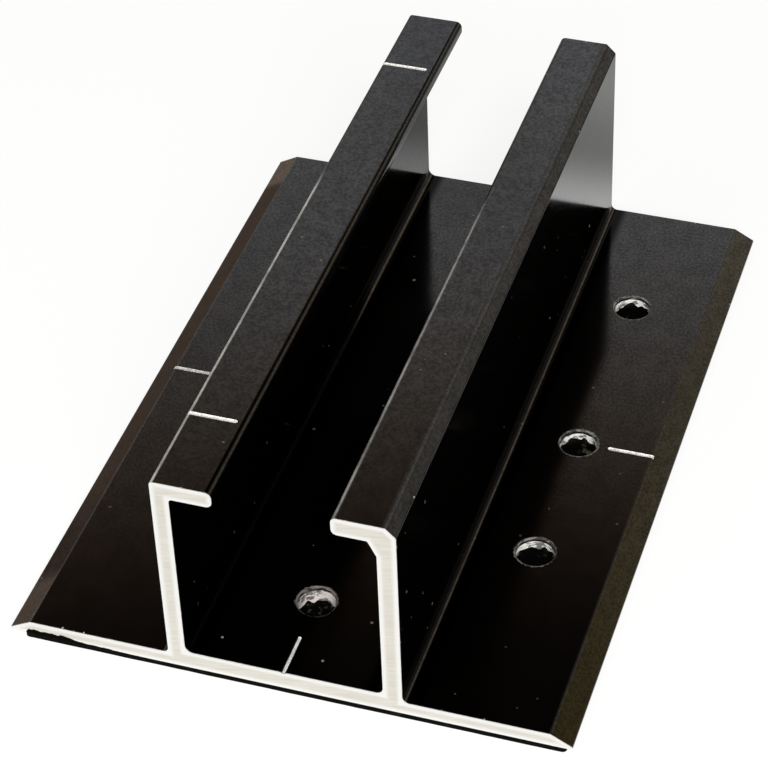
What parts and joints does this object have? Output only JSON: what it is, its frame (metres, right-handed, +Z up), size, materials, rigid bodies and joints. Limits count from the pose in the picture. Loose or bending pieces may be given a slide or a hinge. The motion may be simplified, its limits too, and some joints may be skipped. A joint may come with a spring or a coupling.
{
  "type": "solar roof mount base",
  "caption": "Extruded base plate with two walls and inturned lips that form an open slotted channel, drilled through its flanges and channel floor, on a thin sealing pad.",
  "frame": {"origin": "centre of the sealing pad's flat underside", "axes": "+Z up from the roof, +Y along the extrusion away from the near end, +X across it towards the wall with the bevelled shoulder"},
  "size_m": [0.1, 0.14, 0.0431],
  "materials": {
    "anodised_aluminium": "satin black anodised, with bare metal on the sawn ends, in the drilled holes and in the scribed marks",
    "butyl_pad": "dull black butyl, soft and slightly tacky, with an uneven squeezed edge"
  },
  "bodies": {
    "root": {"mount_base": "anodised_aluminium", "sealing_pad": "butyl_pad"}
  },
  "joints": []
}
